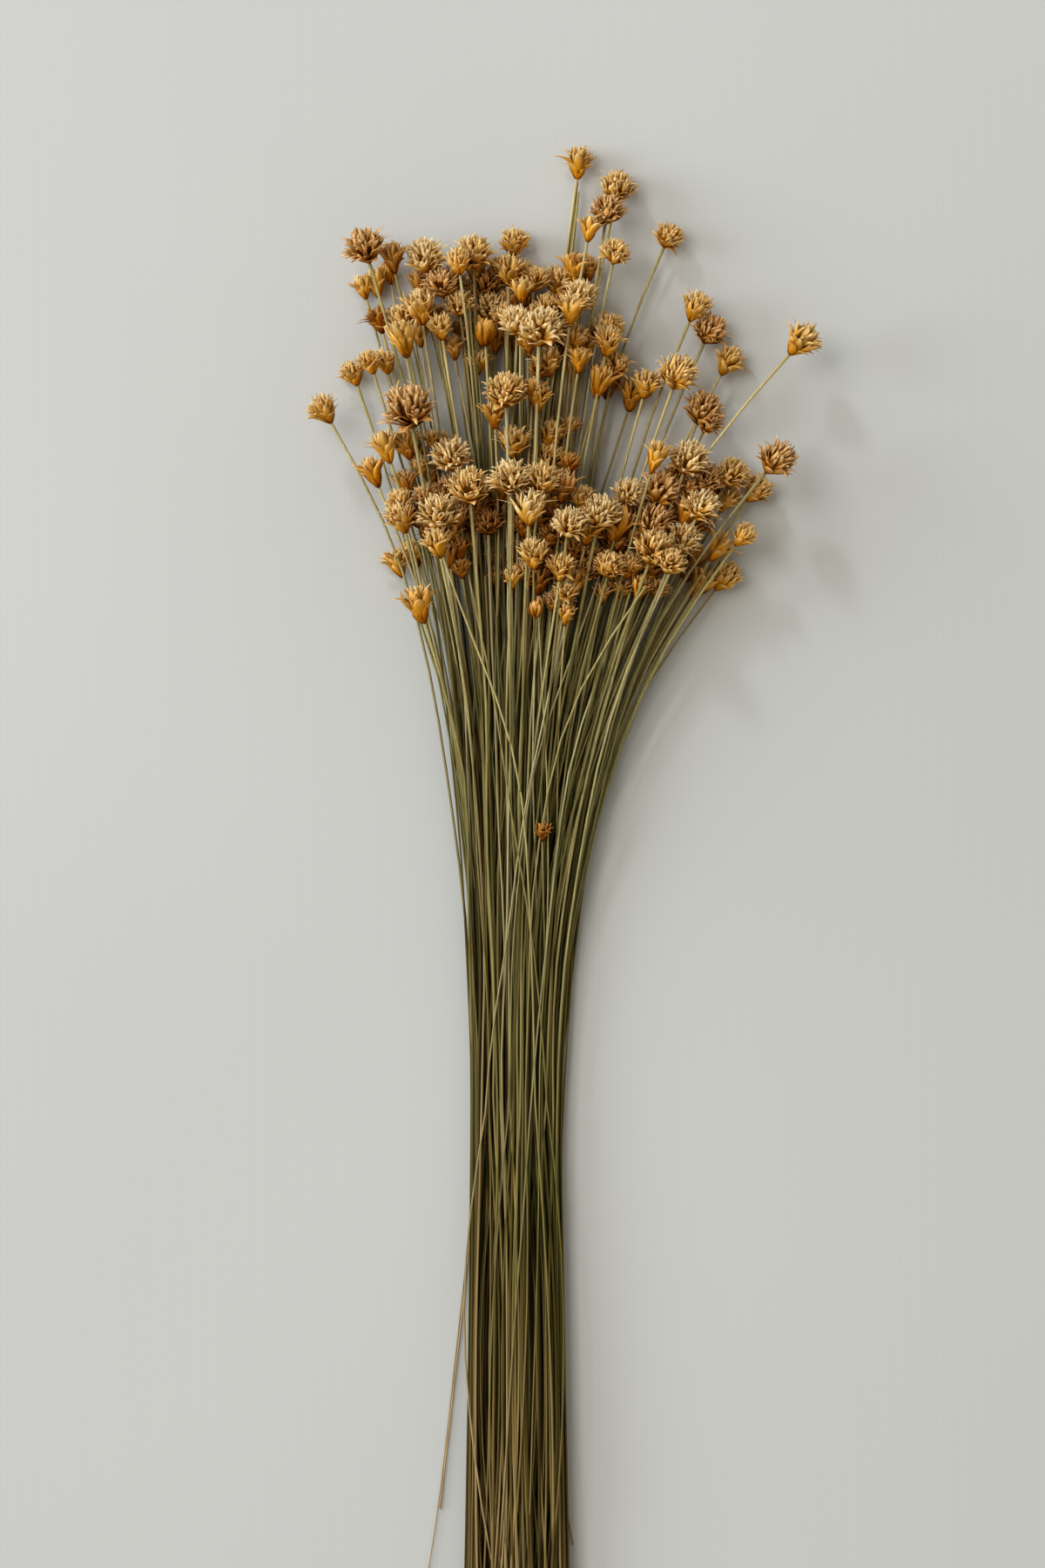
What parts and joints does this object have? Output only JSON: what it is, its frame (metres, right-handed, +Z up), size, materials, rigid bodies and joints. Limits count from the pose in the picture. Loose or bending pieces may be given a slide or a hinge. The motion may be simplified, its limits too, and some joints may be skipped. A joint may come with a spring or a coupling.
{
  "type": "dried flower bundle",
  "caption": "Bundle of preserved hill flowers: thin dried stems gathered straight and fanning out to small papery, straw-like heads in amber and tan.",
  "frame": {"origin": "centre of the bundle's box, at the height of the surface it lies on", "axes": "+Y along the bundle from the cut ends to the flower heads, +Z up from the surface, +X to the right seen from above with the heads at the top"},
  "size_m": [0.1962, 0.5992, 0.0432],
  "materials": {
    "bud_flower": "dry, satin, closed orange bracts on a straw stem",
    "cup_flower": "dry, satin, amber bracts with paler edges on a straw stem",
    "half_flower": "dry, papery, golden bracts with pale tips on a straw stem",
    "open_flower": "dry, matt, pale straw bracts with dark middles on a straw stem",
    "rubber": "matt elastic"
  },
  "bodies": {
    "root": {"flower_01": "cup_flower", "flower_02": "open_flower", "flower_03": "open_flower", "flower_04": "cup_flower", "flower_05": "open_flower", "flower_06": "open_flower", "flower_07": "open_flower", "flower_08": "open_flower", "flower_09": "half_flower", "flower_10": "cup_flower", "flower_11": "cup_flower", "flower_12": "half_flower", "flower_13": "cup_flower", "flower_14": "half_flower", "flower_15": "open_flower", "flower_16": "half_flower", "flower_17": "half_flower", "flower_18": "half_flower", "flower_19": "half_flower", "flower_20": "cup_flower", "flower_21": "open_flower", "flower_22": "cup_flower", "flower_23": "open_flower", "flower_24": "bud_flower", "flower_25": "cup_flower", "flower_26": "half_flower", "flower_27": "half_flower", "flower_28": "open_flower", "flower_29": "half_flower", "flower_30": "open_flower", "flower_31": "half_flower", "flower_32": "half_flower", "flower_33": "open_flower", "flower_34": "bud_flower", "flower_35": "open_flower", "flower_36": "open_flower", "flower_37": "open_flower", "flower_38": "open_flower", "flower_39": "open_flower", "flower_40": "open_flower", "flower_41": "cup_flower", "flower_42": "half_flower", "flower_43": "half_flower", "flower_44": "half_flower", "flower_45": "open_flower", "flower_46": "cup_flower", "flower_47": "open_flower", "flower_48": "open_flower", "flower_49": "open_flower", "flower_50": "cup_flower", "flower_51": "half_flower", "flower_52": "cup_flower", "flower_53": "open_flower", "flower_54": "half_flower", "flower_55": "open_flower", "flower_56": "half_flower", "flower_57": "open_flower", "flower_58": "open_flower", "flower_59": "open_flower", "rubber_band": "rubber"}
  },
  "joints": []
}
